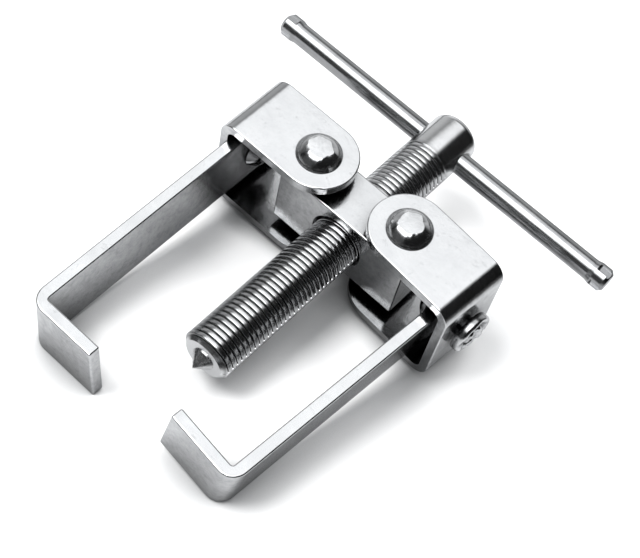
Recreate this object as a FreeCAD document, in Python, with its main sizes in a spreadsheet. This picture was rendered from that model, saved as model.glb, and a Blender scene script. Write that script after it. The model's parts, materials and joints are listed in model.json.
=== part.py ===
import FreeCAD, Part
import math
import os
import Sketcher

# Two-jaw gear puller lying on its side. The screw axis runs along Y with its tip towards -Y,
# the crosspiece runs along X, and the tool rests on the plane Z = 0. Sizes in millimetres.

doc = FreeCAD.newDocument("gear_puller")
V = FreeCAD.Vector

# ---------------------------------------------------------------- driving sizes

DIMENSIONS = [
    # the tool lies on its lower rivet heads and its hooks, so it leans forward by a few degrees
    ("lean", 7.15),
    ("axis_height", 18.8),
    ("beam_station", 16.94),
    # crosspiece
    ("beam_length", 39.8),
    ("beam_depth", 13.55),
    ("beam_height", 20.1),
    ("beam_edge_round", 0.45),
    ("bore_chamfer", 0.7),
    ("pivot_offset", 14.6),
    # forcing screw, M14 x 1.5, drawn at the outside diameter of its thread
    ("screw_radius", 7.0),
    ("screw_reach", 53.2),
    ("screw_head_reach", 41.1),
    ("screw_tip_chamfer", 1.2),
    ("screw_head_chamfer", 1.75),
    ("screw_head_round", 0.8),
    ("bar_station", 34.55),
    # swivel point in the screw tip
    ("point_radius", 3.15),
    ("point_collar", 0.5),
    ("point_collar_bevel", 0.25),
    ("point_length", 3.5),
    ("point_shank_radius", 2.2),
    ("point_shank_depth", 7.0),
    ("point_end_gap", 0.25),
    # tommy bar
    ("bar_radius", 2.98),
    ("bar_half_length", 55.1),
    ("swage_length", 5.25),
    ("swage_radius", 3.3),
    ("swage_taper", 1.3),
    ("bar_end_bevel", 0.95),
    ("swage_dent_floor", 2.6),
    ("swage_dent_width", 2.1),
    # folded strap brackets
    ("bracket_width", 20.3),
    ("bracket_height", 31.15),
    ("bracket_reach", 22.95),
    ("sheet_thickness", 2.45),
    ("bend_radius", 4.7),
    ("strap_edge_round", 0.35),
    # hooked jaws
    ("jaw_thickness", 3.15),
    ("jaw_height", 19.25),
    ("left_jaw_length", 74.7),
    ("right_jaw_length", 73.0),
    ("jaw_tail", 8.9),
    ("jaw_hole_radius", 3.5),
    ("hook_length", 20.05),
    ("hook_outer_bend", 4.55),
    ("hook_inner_bend", 0.7),
    ("jaw_edge_round", 0.45),
    ("left_tip_slant", 1.2),
    ("right_tip_slant", 0.7),
    # the right jaw is loose on its rivet: it stands off the web and leans on its long axis
    ("left_jaw_gap", 0.0),
    ("right_jaw_gap", 2.4),
    ("left_jaw_roll", 0.0),
    ("right_jaw_roll", 6.5),
    # rivets
    ("rivet_radius", 3.05),
    ("rivet_head_radius", 5.75),
    ("rivet_head_height", 3.0),
    ("rivet_rim", 0.6),
    ("rivet_flat_radius", 3.6),
    ("rivet_crown_round", 1.4),
    # slack along the shank of each jaw rivet, under its inner and outer heads
    ("left_rivet_slack", 0.0),
    ("right_rivet_slack", 0.8),
    # radial play of the turning and sliding fits
    ("pivot_play", 0.05),
    ("screw_play", 0.05),
    ("bar_play", 0.08),
    # how each jaw is swung from straight, in degrees about +Z
    ("left_swing", 0.0),
    ("right_swing", -4.2),
]

sheet = doc.addObject("Spreadsheet::Sheet", "sizes")
for row, (alias, value) in enumerate(DIMENSIONS, start=1):
    sheet.set(f"A{row}", alias)
    sheet.set(f"B{row}", str(value))
    sheet.setAlias(f"B{row}", alias)
doc.recompute()


class Size:
    """A number together with the sheet expression it comes from."""

    def __init__(self, value, text):
        self.value = value
        self.text = text

    def combine(self, symbol, other, value):
        return Size(value, f"({self.text} {symbol} {text_of(other)})")

    def __add__(self, other):
        return self.combine("+", other, self.value + number(other))

    def __sub__(self, other):
        return self.combine("-", other, self.value - number(other))

    def __mul__(self, other):
        return self.combine("*", other, self.value * number(other))

    def __truediv__(self, other):
        return self.combine("/", other, self.value / number(other))

    def __neg__(self):
        return self * -1


def number(quantity):
    return quantity.value if isinstance(quantity, Size) else float(quantity)


def text_of(quantity):
    return quantity.text if isinstance(quantity, Size) else repr(float(quantity))


def size(alias):
    return Size(float(sheet.get(alias)), f"sizes.{alias}")


# ---------------------------------------------------------------- modelling helpers

def new_body(name):
    body = doc.addObject("PartDesign::Body", name)
    body.Label = name
    return body


def new_sketch(body, name, plane):
    """Empty sketch on one of the body's own origin planes."""
    sketch = body.newObject("Sketcher::SketchObject", name)
    origin_plane = next(f for f in body.Origin.OriginFeatures if f.Role == plane)
    sketch.AttachmentSupport = [(origin_plane, "")]
    sketch.MapMode = "FlatFace"
    return sketch


def constrain(sketch, name, constraint, quantity):
    """Add a dimension to a sketch and bind it to the sheet."""
    index = sketch.addConstraint(constraint)
    if isinstance(quantity, Size):
        sketch.renameConstraint(index, name)
        sketch.setExpression(f"Constraints.{name}", quantity.text)


def hold_point(sketch, name, geometry, vertex, across, up):
    """Dimension one vertex from the sketch origin."""
    for axis, kind, quantity in (("across", "DistanceX", across), ("up", "DistanceY", up)):
        constraint = Sketcher.Constraint(kind, -1, 1, geometry, vertex, number(quantity))
        constrain(sketch, f"{name}_{axis}", constraint, quantity)


def draw_polygon(sketch, name, corners):
    """Closed outline through corners given as pairs of sizes."""
    points = [V(number(across), number(up), 0) for across, up in corners]
    lines = []
    for here, there in zip(points, points[1:] + points[:1]):
        lines.append(sketch.addGeometry(Part.LineSegment(here, there), False))
    for line, following in zip(lines, lines[1:] + lines[:1]):
        sketch.addConstraint(Sketcher.Constraint("Coincident", line, 2, following, 1))
    for count, (line, (across, up)) in enumerate(zip(lines, corners)):
        hold_point(sketch, f"{name}{count}", line, 1, across, up)


def draw_circle(sketch, name, across, up, radius):
    centre = V(number(across), number(up), 0)
    circle = sketch.addGeometry(Part.Circle(centre, V(0, 0, 1), number(radius)), False)
    hold_point(sketch, name, circle, 3, across, up)
    constraint = Sketcher.Constraint("Radius", circle, number(radius))
    constrain(sketch, f"{name}_radius", constraint, radius)


def extrude(body, kind, name, sketch, length=None):
    """Pad or Pocket, centred on the sketch plane; a pocket without a length goes through all."""
    feature = body.newObject(f"PartDesign::{kind}", name)
    feature.Profile = sketch
    feature.Midplane = True
    if length is None:
        feature.Type = "ThroughAll"
    else:
        feature.Length = number(length)
        feature.setExpression("Length", length.text)
    doc.recompute()
    return feature


def revolve(body, kind, name, sketch, axis):
    """Full Revolution or Groove about one of the sketch's own axes."""
    feature = body.newObject(f"PartDesign::{kind}", name)
    feature.Profile = sketch
    feature.ReferenceAxis = (sketch, [axis])
    feature.Angle = 360
    doc.recompute()
    return feature


def edges_where(feature, test):
    """Names of the feature's edges that pass a test on their shape."""
    edges = feature.Shape.Edges
    return [f"Edge{i}" for i, edge in enumerate(edges, start=1) if not edge.Degenerated and test(edge)]


def dress(body, kind, name, feature, edges, quantity):
    """Fillet or Chamfer on named edges."""
    dressing = body.newObject(f"PartDesign::{kind}", name)
    dressing.Base = (feature, edges)
    prop = "Radius" if kind == "Fillet" else "Size"
    if isinstance(quantity, Size):
        setattr(dressing, prop, quantity.value)
        dressing.setExpression(prop, quantity.text)
    else:
        setattr(dressing, prop, quantity)
    doc.recompute()
    return dressing


def runs_along(edge, axis):
    """True for a straight edge parallel to an axis."""
    if edge.Curve.TypeId != "Part::GeomLine":
        return False
    return abs(abs(edge.tangentAt(edge.FirstParameter).dot(axis)) - 1) < 1e-6


def placement_text(position, axis, degrees):
    """Sheet expression for a shift followed by a turn about one axis."""
    shift = "; ".join(text_of(coordinate) for coordinate in position)
    return f"placement(vector({shift}); rotation(vector({axis}); {text_of(degrees)}))"


def place(body, *steps):
    """Bind a body's placement: the tool's own lean, then steps inside the tool's frame."""
    stand = placement_text((0, size("beam_station"), size("axis_height")), "1; 0; 0", size("lean"))
    body.setExpression("Placement", " * ".join([stand, *steps]))
    doc.recompute()


def arm_step(side, swing):
    """Step from the tool's frame to one arm's frame, whose Z axis is the arm's pivot."""
    return placement_text((size("pivot_offset") * side, 0, 0), "0; 0; 1", swing)


X_AXIS = V(1, 0, 0)
Y_AXIS = V(0, 1, 0)
Z_AXIS = V(0, 0, 1)


# ---------------------------------------------------------------- crosspiece

def make_crosspiece():
    body = new_body("crosspiece")
    half_length = size("beam_length") / 2
    half_depth = size("beam_depth") / 2
    outline = new_sketch(body, "beam_outline", "XY_Plane")
    draw_polygon(outline, "corner", [
        (-half_length, -half_depth),
        (half_length, -half_depth),
        (half_length, half_depth),
        (-half_length, half_depth),
    ])
    block = extrude(body, "Pad", "beam", outline, size("beam_height"))
    dress(body, "Fillet", "edge_rounds", block, edges_where(block, lambda e: True), size("beam_edge_round"))

    bore_sketch = new_sketch(body, "screw_bore_circle", "XZ_Plane")
    draw_circle(bore_sketch, "bore", 0, 0, size("screw_radius") + size("screw_play"))
    bore = extrude(body, "Pocket", "screw_bore", bore_sketch)
    bore_radius = size("screw_radius") + size("screw_play")

    def is_bore_mouth(edge):
        return edge.Curve.TypeId == "Part::GeomCircle" and abs(edge.Curve.Radius - bore_radius.value) < 0.01

    mouths = edges_where(bore, is_bore_mouth)
    dress(body, "Chamfer", "bore_mouths", bore, mouths, size("bore_chamfer"))

    pivots = new_sketch(body, "pivot_circles", "XY_Plane")
    pivot_radius = size("rivet_radius") + size("pivot_play")
    draw_circle(pivots, "left_pivot", -size("pivot_offset"), 0, pivot_radius)
    draw_circle(pivots, "right_pivot", size("pivot_offset"), 0, pivot_radius)
    extrude(body, "Pocket", "pivot_holes", pivots)
    place(body)
    return body


# ---------------------------------------------------------------- screw, point and bar

def make_forcing_screw():
    body = new_body("forcing_screw")
    radius = size("screw_radius")
    tip = -size("screw_reach")
    head = size("screw_head_reach")
    socket = size("point_shank_radius") + size("pivot_play")
    socket_floor = tip + size("point_shank_depth") + size("point_end_gap")
    profile = new_sketch(body, "screw_profile", "XY_Plane")
    draw_polygon(profile, "corner", [
        (0, socket_floor),
        (socket, socket_floor),
        (socket, tip),
        (radius - size("screw_tip_chamfer"), tip),
        (radius, tip + size("screw_tip_chamfer")),
        (radius, head - size("screw_head_chamfer")),
        (radius - size("screw_head_chamfer"), head),
        (0, head),
    ])
    rod = revolve(body, "Revolution", "rod", profile, "V_Axis")

    hole_sketch = new_sketch(body, "bar_hole_circle", "YZ_Plane")
    hole_radius = size("bar_radius") + size("bar_play")
    draw_circle(hole_sketch, "hole", size("bar_station"), 0, hole_radius)
    drilled = extrude(body, "Pocket", "bar_hole", hole_sketch)

    rim_start = number(head - size("screw_head_chamfer")) - 0.01

    def on_head_rim(edge):
        return edge.Curve.TypeId == "Part::GeomCircle" and edge.BoundBox.YMin > rim_start

    rims = edges_where(drilled, on_head_rim)
    dress(body, "Fillet", "head_round", drilled, rims, size("screw_head_round"))
    place(body)
    return body


def make_centre_point():
    body = new_body("centre_point")
    face = -size("screw_reach")
    collar = face - size("point_collar")
    bevel = size("point_collar_bevel")
    profile = new_sketch(body, "point_profile", "XY_Plane")
    draw_polygon(profile, "corner", [
        (0, face - size("point_length")),
        (size("point_radius") - bevel, collar),
        (size("point_radius"), collar + bevel),
        (size("point_radius"), face),
        (size("point_shank_radius"), face),
        (size("point_shank_radius"), face + size("point_shank_depth")),
        (0, face + size("point_shank_depth")),
    ])
    revolve(body, "Revolution", "point", profile, "V_Axis")
    place(body)
    return body


def make_tommy_bar():
    body = new_body("tommy_bar")
    half = size("bar_half_length")
    thin = size("bar_radius")
    thick = size("swage_radius")
    station = size("bar_station")
    shoulder = half - size("swage_length")
    taper = size("swage_taper")
    bevel = size("bar_end_bevel")
    profile = new_sketch(body, "bar_profile", "XY_Plane")
    draw_polygon(profile, "corner", [
        (-half, 0),
        (-half, thick - bevel),
        (-half + bevel, thick),
        (-shoulder - taper, thick),
        (-shoulder, thin),
        (shoulder, thin),
        (shoulder + taper, thick),
        (half - bevel, thick),
        (half, thick - bevel),
        (half, 0),
    ])
    revolve(body, "Revolution", "rod", profile, "H_Axis")

    dent_sketch = new_sketch(body, "dent_outlines", "XY_Plane")
    floor = size("swage_dent_floor")
    dent_start = shoulder + taper / 4
    floor_start = shoulder + taper * 1.5
    beyond = 1
    for end, flip in (("left", -1), ("right", 1)):
        draw_polygon(dent_sketch, f"{end}_corner", [
            (dent_start * flip, thick + beyond),
            (floor_start * flip, floor),
            ((half + beyond) * flip, floor),
            ((half + beyond) * flip, thick + beyond),
        ])
    dent = extrude(body, "Pocket", "dents", dent_sketch, size("swage_dent_width"))

    ring = body.newObject("PartDesign::PolarPattern", "dents_round_ends")
    ring.Originals = [dent]
    ring.Axis = (dent_sketch, ["H_Axis"])
    ring.Angle = 360
    ring.Occurrences = 4
    body.Tip = ring
    place(body, placement_text((0, size("bar_station"), 0), "0; 0; 1", 0))
    return body


# ---------------------------------------------------------------- bracket, jaw and rivets
# Each of these is drawn about its own pivot axis; side is -1 for the left one, +1 for the right.

def draw_strap_outline(sketch, side):
    """Plan of the folded strap: full round at the pivot, square at the web."""
    half = size("bracket_width") / 2
    reach = size("bracket_reach") * side
    radius = number(half)
    circle = Part.Circle(V(0, 0, 0), V(0, 0, 1), radius)
    start = math.pi / 2 if side > 0 else -math.pi / 2
    arc = sketch.addGeometry(Part.ArcOfCircle(circle, start, start + math.pi), False)
    front, back = (2, 1) if side > 0 else (1, 2)
    corners = [V(0, -radius, 0), V(number(reach), -radius, 0), V(number(reach), radius, 0), V(0, radius, 0)]
    lines = []
    for here, there in zip(corners, corners[1:]):
        lines.append(sketch.addGeometry(Part.LineSegment(here, there), False))
    sketch.addConstraint(Sketcher.Constraint("Coincident", arc, 3, -1, 1))
    sketch.addConstraint(Sketcher.Constraint("Coincident", arc, front, lines[0], 1))
    sketch.addConstraint(Sketcher.Constraint("Coincident", lines[0], 2, lines[1], 1))
    sketch.addConstraint(Sketcher.Constraint("Coincident", lines[1], 2, lines[2], 1))
    sketch.addConstraint(Sketcher.Constraint("Coincident", arc, back, lines[2], 2))
    hold_point(sketch, "front_tangent", lines[0], 1, 0, -half)
    hold_point(sketch, "front_corner", lines[1], 1, reach, -half)
    hold_point(sketch, "back_corner", lines[1], 2, reach, half)
    sketch.addConstraint(Sketcher.Constraint("DistanceX", -1, 1, lines[2], 2, 0))


def make_bracket(side_name, side, swing):
    body = new_body(f"{side_name}_bracket")
    reach = size("bracket_reach") * side
    half_height = size("bracket_height") / 2
    inside = half_height - size("sheet_thickness")
    web_inside = reach - size("sheet_thickness") * side

    outline = new_sketch(body, "strap_outline", "XY_Plane")
    draw_strap_outline(outline, side)
    extrude(body, "Pad", "strap_block", outline, size("bracket_height"))

    channel = new_sketch(body, "channel_outline", "XZ_Plane")
    open_end = size("bracket_width") * -side
    draw_polygon(channel, "corner", [
        (open_end, -inside),
        (web_inside, -inside),
        (web_inside, inside),
        (open_end, inside),
    ])
    folded = extrude(body, "Pocket", "channel", channel)

    def at(edge, across, up):
        spot = edge.CenterOfMass
        return abs(spot.x - number(across)) < 0.01 and abs(abs(spot.z) - number(up)) < 0.01

    inner = edges_where(folded, lambda e: runs_along(e, Y_AXIS) and at(e, web_inside, inside))
    inner_bend = size("bend_radius") - size("sheet_thickness")
    folded = dress(body, "Fillet", "inner_bends", folded, inner, inner_bend)
    outer = edges_where(folded, lambda e: runs_along(e, Y_AXIS) and at(e, reach, half_height))
    folded = dress(body, "Fillet", "outer_bends", folded, outer, size("bend_radius"))

    def on_outer_skin(edge):
        box = edge.BoundBox
        far_out = max(box.XMax, -box.XMin) > size("bracket_reach").value - 0.01
        far_up = max(box.ZMax, -box.ZMin) > half_height.value - 0.01
        return (far_out or far_up) and not runs_along(edge, Y_AXIS)

    skin_edges = edges_where(folded, on_outer_skin)
    dress(body, "Fillet", "edge_rounds", folded, skin_edges, size("strap_edge_round"))

    hole_radius = size("rivet_radius") + size("pivot_play")
    ear_circle = new_sketch(body, "ear_circle", "XY_Plane")
    draw_circle(ear_circle, "ear_hole", 0, 0, hole_radius)
    extrude(body, "Pocket", "ear_holes", ear_circle)
    web_circle = new_sketch(body, "web_circle", "YZ_Plane")
    draw_circle(web_circle, "web_hole", 0, 0, hole_radius)
    extrude(body, "Pocket", "web_hole", web_circle)
    place(body, arm_step(side, swing))
    return body


def make_jaw(side_name, side, swing):
    """Drawn about its rivet hole, with its outer face on the YZ plane."""
    body = new_body(f"{side_name}_jaw")
    inner = -size("jaw_thickness") * side
    hook_outer = -size(f"{side_name}_jaw_length")
    hook_inner = hook_outer + size("jaw_thickness")
    height = size("jaw_height")
    slant = size(f"{side_name}_tip_slant")
    tip_middle = (size("hook_length") + slant / 2) * -side
    past_tip = (size("hook_length") + slant * 2) * -side

    outline = new_sketch(body, "jaw_outline", "XY_Plane")
    draw_polygon(outline, "corner", [
        (0, size("jaw_tail")),
        (inner, size("jaw_tail")),
        (inner, hook_inner),
        (past_tip, hook_inner),
        (past_tip, hook_outer),
        (0, hook_outer),
    ])
    extrude(body, "Pad", "jaw_bar", outline, height)

    # the tip is cut off on a slant, so that its lower corner reaches further in
    trim = new_sketch(body, "tip_trim_outline", "XZ_Plane")
    draw_polygon(trim, "corner", [
        (tip_middle + slant * side, height),
        (tip_middle - slant * side, -height),
        (past_tip - slant * side, -height),
        (past_tip - slant * side, height),
    ])
    cut = extrude(body, "Pocket", "tip_trim", trim)

    def upright_at(edge, across, along):
        spot = edge.CenterOfMass
        near = abs(spot.x - number(across)) < 0.01 and abs(spot.y - number(along)) < 0.01
        return runs_along(edge, Z_AXIS) and near

    crease = edges_where(cut, lambda e: upright_at(e, inner, hook_inner))
    bent = dress(body, "Fillet", "inner_bend", cut, crease, size("hook_inner_bend"))
    elbow = edges_where(bent, lambda e: upright_at(e, 0, hook_outer))
    bent = dress(body, "Fillet", "outer_bend", bent, elbow, size("hook_outer_bend"))
    long_edges = edges_where(bent, lambda e: not runs_along(e, Z_AXIS))
    dress(body, "Fillet", "edge_rounds", bent, long_edges, size("jaw_edge_round"))

    circle = new_sketch(body, "rivet_circle", "YZ_Plane")
    draw_circle(circle, "rivet_hole", 0, 0, size("jaw_hole_radius"))
    extrude(body, "Pocket", "rivet_hole", circle)

    web_face = size("bracket_reach") - size("sheet_thickness")
    outer_face = (web_face - size(f"{side_name}_jaw_gap")) * side
    roll = size(f"{side_name}_jaw_roll")
    place(body, arm_step(side, swing), placement_text((outer_face, 0, 0), "0; 1; 0", roll))
    return body


def rivet_half_profile(face, outward, swap):
    """Corners of one head, from the shank out to the axis, as (radius, height) or swapped."""
    rim = face + size("rivet_rim") * outward
    crown = face + size("rivet_head_height") * outward
    corners = [
        (size("rivet_radius"), face),
        (size("rivet_head_radius"), face),
        (size("rivet_head_radius"), rim),
        (size("rivet_flat_radius"), crown),
        (0, crown),
    ]
    return [(height, radius) for radius, height in corners] if swap else corners


def make_rivet(name, plane, axis_name, low_face, high_face, side, swing):
    """Round rivet with the same low domed head at both ends."""
    body = new_body(name)
    swap = axis_name == "H_Axis"
    low = rivet_half_profile(low_face, -1, swap)
    high = rivet_half_profile(high_face, 1, swap)
    profile = new_sketch(body, "rivet_profile", plane)
    draw_polygon(profile, "corner", low[::-1] + high)
    rivet = revolve(body, "Revolution", "rivet", profile, axis_name)

    flat_radius = number(size("rivet_flat_radius"))

    def is_crown(edge):
        return edge.Curve.TypeId == "Part::GeomCircle" and abs(edge.Curve.Radius - flat_radius) < 0.01

    crowns = edges_where(rivet, is_crown)
    dress(body, "Fillet", "crown_rounds", rivet, crowns, size("rivet_crown_round"))
    place(body, arm_step(side, swing))
    return body


def make_side(side_name, side):
    """Bracket, jaw and both rivets of one side."""
    swing = size(f"{side_name}_swing")
    half_height = size("bracket_height") / 2
    slack = size(f"{side_name}_rivet_slack")
    stack = size("sheet_thickness") + size(f"{side_name}_jaw_gap") + size("jaw_thickness")
    outer_head = (size("bracket_reach") + slack) * side
    inner_head = (size("bracket_reach") - stack - slack) * side
    low_face, high_face = (inner_head, outer_head) if side > 0 else (outer_head, inner_head)
    return [
        make_bracket(side_name, side, swing),
        make_jaw(side_name, side, swing),
        make_rivet(f"{side_name}_pivot_rivet", "XZ_Plane", "V_Axis", -half_height, half_height, side, swing),
        make_rivet(f"{side_name}_jaw_rivet", "XY_Plane", "H_Axis", low_face, high_face, side, swing),
    ]


# ---------------------------------------------------------------- build, check and write

bodies = [make_crosspiece(), make_forcing_screw(), make_centre_point(), make_tommy_bar()]
bodies += make_side("left", -1)
bodies += make_side("right", 1)
doc.recompute()

for item in doc.Objects:
    if "Invalid" in item.State or "Error" in item.State:
        raise RuntimeError(f"{item.Label} did not build: {item.State}")

os.makedirs("parts", exist_ok=True)
for body in bodies:
    shape = body.Shape
    if shape.isNull() or not shape.isValid() or len(shape.Solids) != 1:
        raise RuntimeError(f"{body.Label} is not one valid solid")
    shape.exportStep(f"parts/{body.Label}.step")
    box = shape.optimalBoundingBox()
    print(f"{body.Label}: {shape.Volume:.0f} mm3, X {box.XMin:.2f}..{box.XMax:.2f},"
          f" Y {box.YMin:.2f}..{box.YMax:.2f}, Z {box.ZMin:.2f}..{box.ZMax:.2f}")
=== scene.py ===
import json
import math

import bmesh
import bpy
from mathutils import Matrix, Vector, noise


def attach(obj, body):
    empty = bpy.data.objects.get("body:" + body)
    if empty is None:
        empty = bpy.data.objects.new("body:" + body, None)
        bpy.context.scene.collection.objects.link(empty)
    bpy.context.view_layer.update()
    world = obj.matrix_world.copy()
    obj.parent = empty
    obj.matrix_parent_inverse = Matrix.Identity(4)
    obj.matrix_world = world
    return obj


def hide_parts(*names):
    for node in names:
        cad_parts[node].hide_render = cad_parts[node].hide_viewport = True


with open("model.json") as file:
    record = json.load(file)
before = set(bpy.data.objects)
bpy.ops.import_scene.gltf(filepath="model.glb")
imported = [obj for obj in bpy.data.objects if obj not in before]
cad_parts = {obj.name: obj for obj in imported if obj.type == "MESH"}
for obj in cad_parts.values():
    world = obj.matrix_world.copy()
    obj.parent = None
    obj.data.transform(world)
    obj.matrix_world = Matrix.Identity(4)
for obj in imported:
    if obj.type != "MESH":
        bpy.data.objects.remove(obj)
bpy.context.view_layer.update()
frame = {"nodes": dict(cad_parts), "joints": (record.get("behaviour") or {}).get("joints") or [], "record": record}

# The gear puller's looks: zinc-plated CAD pieces, a real helical thread and hand-formed rivet heads.
# The frame is in metres. Sizes of small things are in millimetres, and MM turns them into metres.

MM = 0.001
nodes = frame["nodes"]


# ---------------------------------------------------------------- the tool's own axes

def joint(name):
    return next(j for j in frame["joints"] if j["name"] == name)


SCREW_AXIS = Vector(joint("screw_feed")["axis"]).normalized()      # from the tip towards the head
UP_AXIS = Vector((0, -SCREW_AXIS.z, SCREW_AXIS.y))                 # square to the tool's flat faces
ACROSS_AXIS = Vector((1, 0, 0))                                    # along the crosspiece and the bar
SCREW_CENTRE = Vector(joint("screw_turn")["pos_m"])

# the screw in millimetres: radii, and places along its axis from SCREW_CENTRE
PITCH = 1.5
MAJOR = 6.88
MINOR = 6.10
TIP = -53.2
TIP_CHAMFER = 1.3
TIP_FACE_RADIUS = MAJOR - 1.35
SOCKET_RADIUS = 2.25
SOCKET_DEPTH = 7.25
THREAD_END = 28.9
THREAD_STOP = THREAD_END - 0.6           # the thread has faded out here
THREAD_FADE = 2.4                        # over this length
BAR_STATION = 34.55
HEAD_SHOULDER = 1.85                     # radius of the head's rounded end
HEAD_END = 41.1


# ---------------------------------------------------------------- shader building

class Shader:
    """A node material put together one call at a time; most calls return an output socket."""

    def __init__(self, name):
        self.material = bpy.data.materials.new(name)
        self.material.use_nodes = True
        self.tree = self.material.node_tree
        self.surface = self.tree.nodes["Principled BSDF"]
        self.place = self.node("ShaderNodeTexCoord").outputs["Object"]

    def node(self, kind, **settings):
        made = self.tree.nodes.new(kind)
        for key, value in settings.items():
            setattr(made, key, value)
        return made

    def feed(self, socket, source):
        """Link an output or set a constant."""
        if isinstance(source, bpy.types.NodeSocket):
            self.tree.links.new(source, socket)
        else:
            socket.default_value = source

    def stretched(self, scale):
        """Object position scaled along each axis."""
        mapping = self.node("ShaderNodeMapping")
        self.feed(mapping.inputs["Vector"], self.place)
        mapping.inputs["Scale"].default_value = scale
        return mapping.outputs["Vector"]

    def noise(self, scale, detail, rough, vector=None, twist=0.0):
        """Noise between 0 and 1; the scale counts its spots along a metre."""
        made = self.node("ShaderNodeTexNoise")
        self.feed(made.inputs["Vector"], vector or self.place)
        made.inputs["Scale"].default_value = scale
        made.inputs["Detail"].default_value = detail
        made.inputs["Roughness"].default_value = rough
        made.inputs["Distortion"].default_value = twist
        return made.outputs["Fac"]

    def spread(self, value, low, high, new_low, new_high):
        """Map one range onto another, clamped."""
        made = self.node("ShaderNodeMapRange", clamp=True)
        self.feed(made.inputs["Value"], value)
        made.inputs["From Min"].default_value = low
        made.inputs["From Max"].default_value = high
        made.inputs["To Min"].default_value = new_low
        made.inputs["To Max"].default_value = new_high
        return made.outputs["Result"]

    def math(self, operation, a, b=0.0):
        made = self.node("ShaderNodeMath", operation=operation)
        self.feed(made.inputs[0], a)
        self.feed(made.inputs[1], b)
        return made.outputs[0]

    def vector_math(self, operation, a, b=None, result="Vector"):
        made = self.node("ShaderNodeVectorMath", operation=operation)
        self.feed(made.inputs[0], a)
        if b is not None:
            self.feed(made.inputs[1], b)
        return made.outputs[result]

    def mix(self, factor, a, b):
        """Colour a where the factor is 0, colour b where it is 1."""
        made = self.node("ShaderNodeMix", data_type="RGBA")
        self.feed(made.inputs["Factor"], factor)
        self.feed(made.inputs["A"], a)
        self.feed(made.inputs["B"], b)
        return made.outputs["Result"]

    def edge_wear(self, radius, low, high):
        """1 on sharp edges, 0 on flats: how far a rounded normal turns from the true one."""
        bevel = self.node("ShaderNodeBevel", samples=4)
        bevel.inputs["Radius"].default_value = radius
        true_normal = self.node("ShaderNodeNewGeometry").outputs["Normal"]
        match = self.vector_math("DOT_PRODUCT", bevel.outputs["Normal"], true_normal, "Value")
        return self.spread(match, high, low, 0.0, 1.0)

    def crevice(self, reach, low, high, samples=8):
        """0 deep inside narrow gaps, 1 in the open."""
        occlusion = self.node("ShaderNodeAmbientOcclusion", samples=samples)
        occlusion.inputs["Distance"].default_value = reach
        return self.spread(occlusion.outputs["AO"], low, high, 0.0, 1.0)

    def facing(self, axis):
        """1 on faces square to an axis of the piece, 0 on faces along it."""
        normal = self.node("ShaderNodeTexCoord").outputs["Normal"]
        return self.math("ABSOLUTE", self.vector_math("DOT_PRODUCT", normal, axis, "Value"))

    def bump(self, *heights):
        """Chain of bumps from (height, depth in millimetres) pairs."""
        normal = None
        for height, depth in heights:
            made = self.node("ShaderNodeBump")
            made.inputs["Strength"].default_value = 1.0
            made.inputs["Distance"].default_value = depth * MM
            self.feed(made.inputs["Height"], height)
            if normal:
                self.feed(made.inputs["Normal"], normal)
            normal = made.outputs["Normal"]
        self.feed(self.surface.inputs["Normal"], normal)

    def finish(self, color, metallic, rough):
        self.feed(self.surface.inputs["Base Color"], color)
        self.feed(self.surface.inputs["Metallic"], metallic)
        self.feed(self.surface.inputs["Roughness"], rough)
        return self.material


def grey(value, blue=0.0):
    """Grey with a touch of blue."""
    return (value, value + blue * 0.4, value + blue, 1.0)


# ---------------------------------------------------------------- the five metals

def zinc_plate():
    """Bright plating: smooth on the flats square to the pivots, mottled on the other faces, with painted shade in
    gaps and inside the brackets.
    """
    s = Shader("zinc_plate")
    blotch = s.noise(110, 5, 0.6, twist=0.6)
    grain = s.noise(900, 3, 0.6)
    pits = s.noise(420, 4, 0.65)
    flecks = s.noise(520, 5, 0.75)
    lines = s.noise(1.0, 3, 0.6, vector=s.stretched((2600, 40, 2600)))
    wear = s.edge_wear(0.45 * MM, 0.80, 0.985)
    mottled = s.math("SUBTRACT", 1.0, s.spread(s.facing(UP_AXIS), 0.55, 0.95, 0, 1))
    dark_flecks = s.math("MULTIPLY", mottled, s.spread(flecks, 0.50, 0.66, 0, 0.5))
    light_flecks = s.math("MULTIPLY", mottled, s.spread(flecks, 0.48, 0.36, 0, 0.6))

    base = s.mix(s.spread(blotch, 0.32, 0.68, 0, 1), grey(0.74, 0.012), grey(0.84, 0.008))
    base = s.mix(dark_flecks, base, grey(0.42, 0.012))
    base = s.mix(light_flecks, base, grey(0.97, 0.004))
    base = s.mix(s.spread(pits, 0.60, 0.74, 0, 0.35), base, grey(0.45, 0.015))
    base = s.mix(s.math("MULTIPLY", wear, 0.6), base, grey(0.95))
    # painted shade: the plating goes near black deep in gaps and inside the brackets, where shade falls
    base = s.mix(s.crevice(24 * MM, 0.20, 0.80), grey(0.05, 0.002), base)

    rough = s.math("ADD", s.spread(blotch, 0.3, 0.7, 0.10, 0.15), s.spread(grain, 0.3, 0.7, 0.0, 0.04))
    s.bump((s.noise(55, 2, 0.5), 0.10), (s.noise(240, 3, 0.6), 0.05),
           (s.math("MULTIPLY", mottled, flecks), 0.05), (pits, 0.014), (lines, 0.0015), (grain, 0.002))
    return s.finish(base, metallic=1.0, rough=rough)


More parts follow.
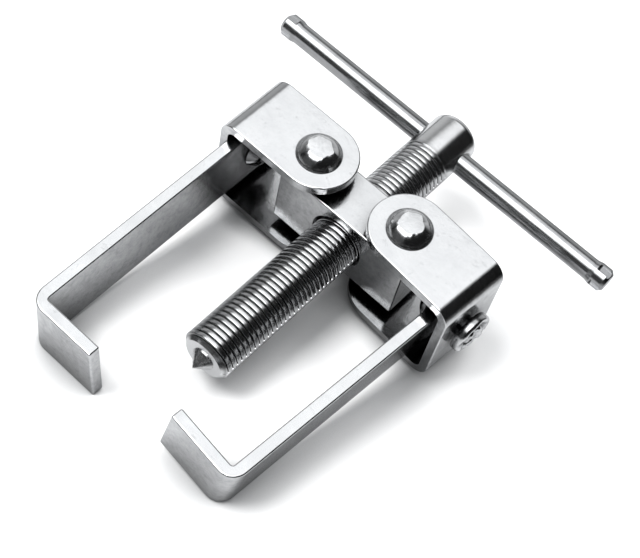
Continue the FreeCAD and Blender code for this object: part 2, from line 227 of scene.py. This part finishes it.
def screw_steel():
    """Plated thread with painted shade in its grooves and a tone painted darker than the plain head and the tip's
    face.
    """
    s = Shader("screw_steel")
    offset = s.vector_math("SUBTRACT", s.place, SCREW_CENTRE)
    radial = s.vector_math("CROSS_PRODUCT", offset, SCREW_AXIS)
    radius = s.vector_math("LENGTH", radial, result="Value")
    along = s.vector_math("DOT_PRODUCT", offset, SCREW_AXIS, "Value")
    tip_face = s.spread(along, (TIP + 0.3) * MM, (TIP + 1.3) * MM, 1, 0)
    plain_head = s.spread(along, (THREAD_END - 1) * MM, THREAD_END * MM, 0, 1)
    thread_crest = s.spread(radius, (MINOR + 0.1) * MM, (MAJOR - 0.2) * MM, 0, 1)
    crest = s.math("MAXIMUM", thread_crest, tip_face)
    blotch = s.noise(160, 5, 0.6)
    grain = s.noise(1100, 3, 0.6)
    turned = s.noise(1.0, 2, 0.5, vector=s.stretched((60, 5200, 60)))

    # painted shade: the thread's tone is set darker than the plain head's, standing in for the shade its own
    # flanks cast
    thread_blotch_and_painted_shade = s.mix(s.spread(blotch, 0.35, 0.65, 0, 1), grey(0.56, 0.008), grey(0.78, 0.006))
    metal = s.mix(s.math("MAXIMUM", plain_head, tip_face), thread_blotch_and_painted_shade, grey(0.90, 0.006))
    # painted shade: below the crest radius the grooves turn dark grey; the tip's face is kept out of it
    base = s.mix(crest, grey(0.20), metal)
    # painted shade: near black deep in the narrow grooves
    base = s.mix(s.crevice(5 * MM, 0.08, 0.46), grey(0.03), base)

    rough = s.math("ADD", s.spread(crest, 0, 1, 0.32, 0.15), s.spread(grain, 0.3, 0.7, 0, 0.05))
    s.bump((blotch, 0.03), (grain, 0.005), (turned, 0.004))
    return s.finish(base, metallic=1.0, rough=rough)


def bar_steel():
    """Drawn bar with fine lines along it."""
    s = Shader("bar_steel")
    blotch = s.noise(130, 4, 0.6)
    drawn = s.noise(1.0, 3, 0.6, vector=s.stretched((30, 3800, 3800)))
    grain = s.noise(1200, 3, 0.6)
    wear = s.edge_wear(0.5 * MM, 0.82, 0.985)

    base = s.mix(s.spread(blotch, 0.35, 0.65, 0, 1), grey(0.40, 0.010), grey(0.52, 0.008))
    base = s.mix(s.spread(drawn, 0.55, 0.75, 0, 0.4), base, grey(0.24, 0.006))
    base = s.mix(s.math("MULTIPLY", wear, 0.5), base, grey(0.80))

    rough = s.math("ADD", s.spread(blotch, 0.3, 0.7, 0.14, 0.20), s.spread(drawn, 0.3, 0.7, 0, 0.05))
    s.bump((blotch, 0.02), (drawn, 0.0015), (grain, 0.002))
    return s.finish(base, metallic=1.0, rough=rough)


def rivet_steel():
    """Hammered rivet heads, with painted shade where the brackets shelter them."""
    s = Shader("rivet_steel")
    blotch = s.noise(260, 5, 0.65, twist=0.8)
    grain = s.noise(1000, 3, 0.6)
    wear = s.edge_wear(0.4 * MM, 0.78, 0.98)

    base = s.mix(s.spread(blotch, 0.38, 0.62, 0, 1), grey(0.72, 0.012), grey(0.88, 0.008))
    base = s.mix(s.math("MULTIPLY", wear, 0.5), base, grey(0.92))
    # painted shade: the heads go near black where the brackets shelter them
    base = s.mix(s.crevice(22 * MM, 0.42, 0.92), grey(0.04, 0.002), base)

    rough = s.math("ADD", s.spread(blotch, 0.3, 0.7, 0.12, 0.20), s.spread(grain, 0.3, 0.7, 0, 0.05))
    s.bump((blotch, 0.025), (grain, 0.004))
    return s.finish(base, metallic=1.0, rough=rough)


def point_steel():
    """Hardened point, duller than the plating."""
    s = Shader("point_steel")
    blotch = s.noise(300, 4, 0.6)
    grain = s.noise(1300, 3, 0.6)
    wear = s.edge_wear(0.3 * MM, 0.8, 0.98)

    base = s.mix(s.spread(blotch, 0.35, 0.65, 0, 1), grey(0.50), grey(0.82))
    base = s.mix(s.math("MULTIPLY", wear, 0.5), base, grey(0.85))

    rough = s.spread(grain, 0.3, 0.7, 0.20, 0.30)
    s.bump((blotch, 0.012), (grain, 0.002))
    return s.finish(base, metallic=1.0, rough=rough)


METALS = (zinc_plate, screw_steel, bar_steel, rivet_steel, point_steel)
MATERIALS = {make.__name__: make() for make in METALS}
NODE_SLOTS = {part["node"]: part["material_slot"] for part in frame["record"]["subparts"]}
for node_name, slot_name in NODE_SLOTS.items():
    mesh = nodes[node_name].data
    mesh.materials.clear()
    mesh.materials.append(MATERIALS[slot_name])


# ---------------------------------------------------------------- turned meshes

TURN_STEPS = 96                          # segments round the screw and the rivets


def frame_along(axis, origin):
    """Matrix that takes local +Z to an axis through an origin."""
    axis = axis.normalized()
    side = Vector((1, 0, 0)) if abs(axis.x) < 0.9 else Vector((0, 0, 1))
    side = (side - axis * side.dot(axis)).normalized()
    turn = Matrix((side, axis.cross(side), axis)).transposed().to_4x4()
    return Matrix.Translation(origin) @ turn


def lathe(name, columns, segments, place):
    """Mesh from a stack of rings; each is a function from an angle to a radius and height."""
    mesh = bpy.data.meshes.new(name)
    bm = bmesh.new()
    rings = []
    for column in columns:
        ring = []
        for k in range(segments):
            angle = 2 * math.pi * k / segments
            radius, height = column(angle)
            point = Vector((radius * math.cos(angle), radius * math.sin(angle), height))
            ring.append(bm.verts.new(place @ point))
        rings.append(ring)
    for low, high in zip(rings, rings[1:]):
        for k in range(segments):
            after = (k + 1) % segments
            bm.faces.new((low[k], low[after], high[after], high[k]))
    bmesh.ops.remove_doubles(bm, verts=bm.verts, dist=1e-6)
    bmesh.ops.dissolve_degenerate(bm, edges=bm.edges, dist=1e-7)
    bmesh.ops.recalc_face_normals(bm, faces=bm.faces)
    for face in bm.faces:
        face.smooth = True
    bm.to_mesh(mesh)
    bm.free()
    obj = bpy.data.objects.new(name, mesh)
    bpy.context.scene.collection.objects.link(obj)
    return obj


def shade_by_angle(obj, degrees):
    """Sharpen the edges that turn more than an angle."""
    obj.data.set_sharp_from_angle(angle=math.radians(degrees))


def plain_column(radius, height):
    """A round, level ring, from millimetres."""
    return lambda angle: (radius * MM, height * MM)


# ---------------------------------------------------------------- forcing screw with its thread

# one pitch of the thread: share of the pitch, share of the depth (0 at the crest, 1 at the root)
THREAD_PROFILE = [
    (0.00, 1.00), (0.04, 0.92), (0.08, 0.56), (0.12, 0.24), (0.16, 0.10), (0.22, 0.035), (0.34, 0.008),
    (0.50, 0.00),
    (0.66, 0.008), (0.78, 0.035), (0.84, 0.10), (0.88, 0.24), (0.92, 0.56), (0.96, 0.92),
]
# the bar's hole, flared at both mouths: radius, place along the bar from the screw's axis
BAR_HOLE = [(0, -10), (5.0, -10), (5.0, -8), (3.06, -6.35), (3.06, 6.35), (5.0, 8), (5.0, 10), (0, 10)]


def thread_column(start, depth_part):
    """One line of the thread's profile, wound along the screw and fading out at the head."""
    def column(angle):
        height = start + PITCH * angle / (2 * math.pi)
        along = min(max(height, TIP), THREAD_END)
        fade = min(1.0, max(0.0, (THREAD_STOP - height) / THREAD_FADE))
        radius = MAJOR - (MAJOR - MINOR) * depth_part * fade
        chamfer = MAJOR - TIP_CHAMFER + (along - TIP)
        return min(radius, chamfer) * MM, along * MM
    return column


def screw_columns():
    """The point's socket, the tip's face, the thread and the plain head, as one closed skin."""
    socket_floor = TIP + SOCKET_DEPTH
    socket = [(0, socket_floor), (SOCKET_RADIUS, socket_floor), (SOCKET_RADIUS, TIP), (TIP_FACE_RADIUS, TIP)]
    columns = [plain_column(radius, height) for radius, height in socket]

    turns = math.ceil((THREAD_END - TIP) / PITCH) + 1
    for turn in range(-1, turns):
        for part, depth in THREAD_PROFILE:
            columns.append(thread_column(TIP + PITCH * (turn + part), depth))

    head = [(MAJOR, THREAD_END + 0.2), (MAJOR, HEAD_END - 2.0)]
    arc_steps = 8
    for step in range(arc_steps + 1):
        a = math.radians(90 * step / arc_steps)
        head.append((MAJOR - HEAD_SHOULDER + HEAD_SHOULDER * math.cos(a),
                     HEAD_END - HEAD_SHOULDER + HEAD_SHOULDER * math.sin(a)))
    head.append((0, HEAD_END))
    return columns + [plain_column(radius, height) for radius, height in head]


def make_screw():
    turn = Matrix((ACROSS_AXIS, UP_AXIS * -1, SCREW_AXIS)).transposed().to_4x4()
    place = Matrix.Translation(SCREW_CENTRE) @ turn
    screw = lathe("forcing_screw_threaded", screw_columns(), TURN_STEPS, place)

    bar_centre = SCREW_CENTRE + SCREW_AXIS * BAR_STATION * MM
    hole = [plain_column(radius, height) for radius, height in BAR_HOLE]
    cutter = lathe("bar_hole_cutter", hole, 64, frame_along(ACROSS_AXIS, bar_centre))
    drill = screw.modifiers.new("bar_hole", "BOOLEAN")
    drill.object = cutter
    drill.operation = "DIFFERENCE"
    drill.solver = "EXACT"
    bpy.context.view_layer.update()
    evaluated = screw.evaluated_get(bpy.context.evaluated_depsgraph_get())
    drilled = bpy.data.meshes.new_from_object(evaluated)
    screw.modifiers.clear()
    screw.data = drilled
    bpy.data.objects.remove(cutter)
    drilled.materials.clear()
    drilled.materials.append(MATERIALS["screw_steel"])
    shade_by_angle(screw, 34)
    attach(screw, "screw")
    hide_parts("forcing_screw")


make_screw()


# ---------------------------------------------------------------- hand-formed rivets

RIVET_RADIUS = 3.05
HEAD_RADIUS = 5.75
HEAD_HEIGHT = 3.0
HEAD_RIM = 0.5                           # height of the head's upright edge
HEAD_CROWN = 0.05                        # rise of the flat top towards its centre
PLATEAU_RADIUS = 3.1                     # flat top of a domed head
PIVOT_REACH = 15.575                     # from the pivot's middle to a bracket's outer face

# a dished head from its foot to its centre: radius, height, share of the hammered unevenness
DISHED_OUTLINE = [
    (5.65, 0.0, 0), (5.75, 0.15, 0), (5.75, 1.7, 0.1), (5.5, 2.2, 0.3), (5.1, 2.4, 0.5),
    (4.6, 2.35, 0.6), (4.0, 1.9, 0.7), (3.6, 1.4, 0.7), (3.2, 1.3, 0.7), (3.0, 1.6, 0.8),
    (2.6, 2.4, 1), (2.2, 2.7, 1), (1.6, 2.8, 1), (0.8, 2.7, 1), (0, 2.7, 0),
]
# each jaw rivet: side, outer and inner face it clamps in millimetres out from the pivot, its arm's swing
JAW_RIVETS = {"left": (-1, 22.95, 17.35, 0.0), "right": (1, 23.75, 14.15, -4.2)}


def hammered(radius, angle, seed, depth):
    """Uneven height left by the hammer, in millimetres: broad dents with weaker, finer ones on them."""
    spot = Vector((radius * math.cos(angle), radius * math.sin(angle), seed * 7.3))
    return depth * (noise.noise(spot * 0.4) + 0.35 * noise.noise(spot * 1.3))


def domed_head(seed, corners=6):
    """Rings of a round head with a flat, roughly many-sided top, from its foot to its centre."""
    plateau = HEAD_HEIGHT - HEAD_CROWN

    def edge_ring(radius, height):
        return lambda angle: (radius, height)

    def flat_radius(angle):
        ripple = 1 + 0.06 * math.cos(corners * angle + seed)
        return PLATEAU_RADIUS * ripple + hammered(3.0, angle, seed, 0.5)

    def shoulder_ring(part):
        """Ring between the flat top, at part 0, and the rim, at part 1."""
        def ring(angle):
            flat = flat_radius(angle)
            drop = 1 - 0.42 * part - 0.58 * part ** 2.4            # steeper towards the rim
            height = HEAD_RIM + (plateau - HEAD_RIM) * drop
            dents = hammered(4.0, angle, seed + 3, 0.15) * part * drop
            return flat + (HEAD_RADIUS - 0.15 - flat) * part, height + dents
        return ring

    def flat_ring(part):
        return lambda angle: (flat_radius(angle) * part, plateau + HEAD_CROWN * (1 - part ** 2))

    rings = [edge_ring(HEAD_RADIUS - 0.1, 0.0), edge_ring(HEAD_RADIUS, 0.15)]
    rings.append(edge_ring(HEAD_RADIUS, HEAD_RIM - 0.15))
    rings += [shoulder_ring(1 - step / 16) for step in range(16)] + [shoulder_ring(0.02)]
    rings += [flat_ring(part) for part in (1.0, 0.97, 0.6, 0.3, 0.0)]
    return rings


def dished_head(seed):
    """Rings of a flat head with a sunken ring round a burst centre."""
    def uneven_ring(radius, height, part):
        return lambda angle: (radius, height + part * hammered(radius, angle, seed, 0.8))

    return [uneven_ring(*row) for row in DISHED_OUTLINE]


def make_rivet(node_name, body, place, low, high, low_head, high_head):
    """Shank between two faces, with a head built outwards from each."""
    def shifted(ring, face, outward):
        def column(angle):
            radius, height = ring(angle)
            return radius * MM, (face + outward * height) * MM
        return column

    columns = [shifted(ring, low, -1) for ring in reversed(low_head)]
    columns += [plain_column(RIVET_RADIUS, low), plain_column(RIVET_RADIUS, high)]
    columns += [shifted(ring, high, 1) for ring in high_head]
    rivet = lathe(node_name + "_formed", columns, TURN_STEPS, place)
    rivet.data.materials.append(MATERIALS["rivet_steel"])
    shade_by_angle(rivet, 50)
    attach(rivet, body)
    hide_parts(node_name)


# every head gets a seed of its own, so no two have the same dents
for seed, (side_name, (side, outer, inner, swing)) in enumerate(JAW_RIVETS.items(), start=1):
    arm = f"{side_name}_arm"
    pivot = Vector(joint(f"{side_name}_arm_swing")["pos_m"])
    make_rivet(f"{side_name}_pivot_rivet", arm, frame_along(UP_AXIS, pivot), -PIVOT_REACH, PIVOT_REACH,
               domed_head(seed), domed_head(seed + 10, corners=7 - seed))
    outward = Matrix.Rotation(math.radians(swing), 4, UP_AXIS) @ Vector((side, 0, 0))
    make_rivet(f"{side_name}_jaw_rivet", arm, frame_along(outward, pivot), inner, outer,
               domed_head(seed + 20), dished_head(seed + 30))


# ---------------------------------------------------------------- floor, light and camera

FLOOR_REACH = 3                          # metres from the middle to each side
MIRROR_CENTRE = (-0.11, 0.01, 0)         # metal sees the ground as grey round this place
MIRROR_FULL, MIRROR_GONE = 0.17, 0.27    # and as nearly black further off, in metres
AMBIENT = 0.76                           # strength of the even light that falls on the ground
BACKDROP = 1.08                          # what the camera sees past the ground: the same white


def make_floor():
    corners = [(x * FLOOR_REACH, y * FLOOR_REACH, 0) for x, y in ((-1, -1), (1, -1), (1, 1), (-1, 1))]
    mesh = bpy.data.meshes.new("floor")
    mesh.from_pydata(corners, [], [(0, 1, 2, 3)])
    floor = bpy.data.objects.new("floor", mesh)
    bpy.context.scene.collection.objects.link(floor)

    s = Shader("pale_ground")
    shown_in_metal = s.node("ShaderNodeLightPath").outputs["Is Glossy Ray"]
    away = s.vector_math("DISTANCE", s.place, MIRROR_CENTRE, "Value")
    near = s.spread(away, MIRROR_FULL, MIRROR_GONE, 1, 0)
    # painted shadow: the ground darkens where parts stand close over it, both as the camera sees it and as metal
    # mirrors it
    painted_contact_shadow = s.crevice(13 * MM, 0.30, 0.80, samples=24)
    shown = s.mix(painted_contact_shadow, grey(0.26, 0.01), grey(0.90))
    mirrored = s.mix(near, grey(0.03), s.mix(painted_contact_shadow, grey(0.16), grey(0.44, 0.01)))
    s.finish(s.mix(shown_in_metal, shown, mirrored), metallic=0.0, rough=0.9)
    s.surface.inputs["Specular IOR Level"].default_value = 0.0
    mesh.materials.append(s.material)


make_floor()


def make_world():
    """Even light for the ground; metal sees a dark room, a bright panel overhead and two pale walls."""
    world = bpy.data.worlds.new("studio")
    bpy.context.scene.world = world
    world.use_nodes = True
    tree = world.node_tree
    sky = tree.nodes.new("ShaderNodeTexCoord").outputs["Generated"]
    split = tree.nodes.new("ShaderNodeSeparateXYZ")
    tree.links.new(sky, split.inputs[0])

    def combine(operation, a, b):
        made = tree.nodes.new("ShaderNodeMath")
        made.operation = operation
        for socket, value in zip(made.inputs, (a, b)):
            if isinstance(value, bpy.types.NodeSocket):
                tree.links.new(value, socket)
            else:
                socket.default_value = value
        return made.outputs[0]

    def ramp(value, low, high, strength):
        made = tree.nodes.new("ShaderNodeMapRange")
        made.interpolation_type = "SMOOTHSTEP"
        made.inputs["From Min"].default_value = low
        made.inputs["From Max"].default_value = high
        made.inputs["To Min"].default_value = 0.0
        made.inputs["To Max"].default_value = strength
        tree.links.new(value, made.inputs["Value"])
        return made.outputs["Result"]

    def glow(direction, inner, outer, strength):
        """Soft round patch: full inside one angle, gone past another."""
        dot = tree.nodes.new("ShaderNodeVectorMath")
        dot.operation = "DOT_PRODUCT"
        tree.links.new(sky, dot.inputs[0])
        dot.inputs[1].default_value = Vector(direction).normalized()
        edge, core = math.cos(math.radians(outer)), math.cos(math.radians(inner))
        return ramp(dot.outputs["Value"], edge, core, strength)

    def panel_side(axis, gone, full):
        """One soft side of the overhead panel, at angles from straight up."""
        slope = combine("DIVIDE", split.outputs[axis], combine("MAXIMUM", split.outputs["Z"], 0.02))
        return ramp(slope, math.tan(math.radians(gone)), math.tan(math.radians(full)), 1.0)

    across = combine("MULTIPLY", panel_side("X", -50, -29), panel_side("X", 28, 11))
    along = combine("MULTIPLY", panel_side("Y", -52, -32), panel_side("Y", 37, 25))
    brighter_front = combine("ADD", combine("MULTIPLY", panel_side("Y", 7, -12), 2.6), 1.18)
    panel = combine("MULTIPLY", combine("MULTIPLY", across, along), brighter_front)
    walls = combine("ADD", glow((-0.90, 0.42, 0.05), 14, 54, 0.38), glow((-0.24, 0.95, 0.10), 10, 50, 0.55))
    dark_side = combine("ADD", glow((-0.26, -0.90, 0.30), 10, 40, 0.07), 0.007)
    shown_in_metal = combine("ADD", panel, combine("ADD", walls, dark_side))

    path = tree.nodes.new("ShaderNodeLightPath")
    seen_directly = combine("MULTIPLY", path.outputs["Is Camera Ray"], BACKDROP - AMBIENT)
    open_sky = combine("ADD", seen_directly, AMBIENT)
    choose = tree.nodes.new("ShaderNodeMix")
    choose.data_type = "FLOAT"
    tree.links.new(path.outputs["Is Glossy Ray"], choose.inputs["Factor"])
    tree.links.new(open_sky, choose.inputs["A"])
    tree.links.new(shown_in_metal, choose.inputs["B"])
    background = tree.nodes["Background"]
    tree.links.new(choose.outputs["Result"], background.inputs["Strength"])
    background.inputs["Color"].default_value = (0.97, 0.985, 1.0, 1.0)


make_world()


def add_sun(towards, strength, width):
    """Shadow light that metal doesn't mirror; its width is in degrees."""
    light = bpy.data.lights.new("soft_key", "SUN")
    light.energy = strength
    light.angle = math.radians(width)
    lamp = bpy.data.objects.new("soft_key", light)
    lamp.rotation_mode = "QUATERNION"
    lamp.rotation_quaternion = Vector(towards).to_track_quat("Z", "Y")
    lamp.visible_glossy = False
    bpy.context.scene.collection.objects.link(lamp)


add_sun(towards=(-0.02, 0.58, 0.81), strength=1.3, width=32)
add_sun(towards=(-0.36, -0.36, 0.86), strength=3.0, width=26)


def aim_camera(aim, azimuth, elevation, distance, roll, lens):
    """Camera round a point: azimuth 0 looks along +Y, roll tips its top to the left."""
    a, e = math.radians(azimuth), math.radians(elevation)
    back = Vector((math.sin(a) * math.cos(e), -math.cos(a) * math.cos(e), math.sin(e)))
    level = (-back).to_track_quat("-Z", "Y").to_matrix().to_4x4()
    camera = bpy.data.objects.new("camera", bpy.data.cameras.new("camera"))
    camera.data.sensor_width = 36
    camera.data.lens = lens
    camera.data.clip_start = 0.01
    camera.data.clip_end = 50
    place = Matrix.Translation(Vector(aim) + back * distance)
    camera.matrix_world = place @ level @ Matrix.Rotation(math.radians(roll), 4, "Z")
    bpy.context.scene.collection.objects.link(camera)
    bpy.context.scene.camera = camera


aim_camera(aim=(0.004786, -0.001085, 0.0175), azimuth=24.026, elevation=53.034, distance=0.33903,
           roll=21.291, lens=79.082)
bpy.context.scene.view_settings.view_transform = "Standard"
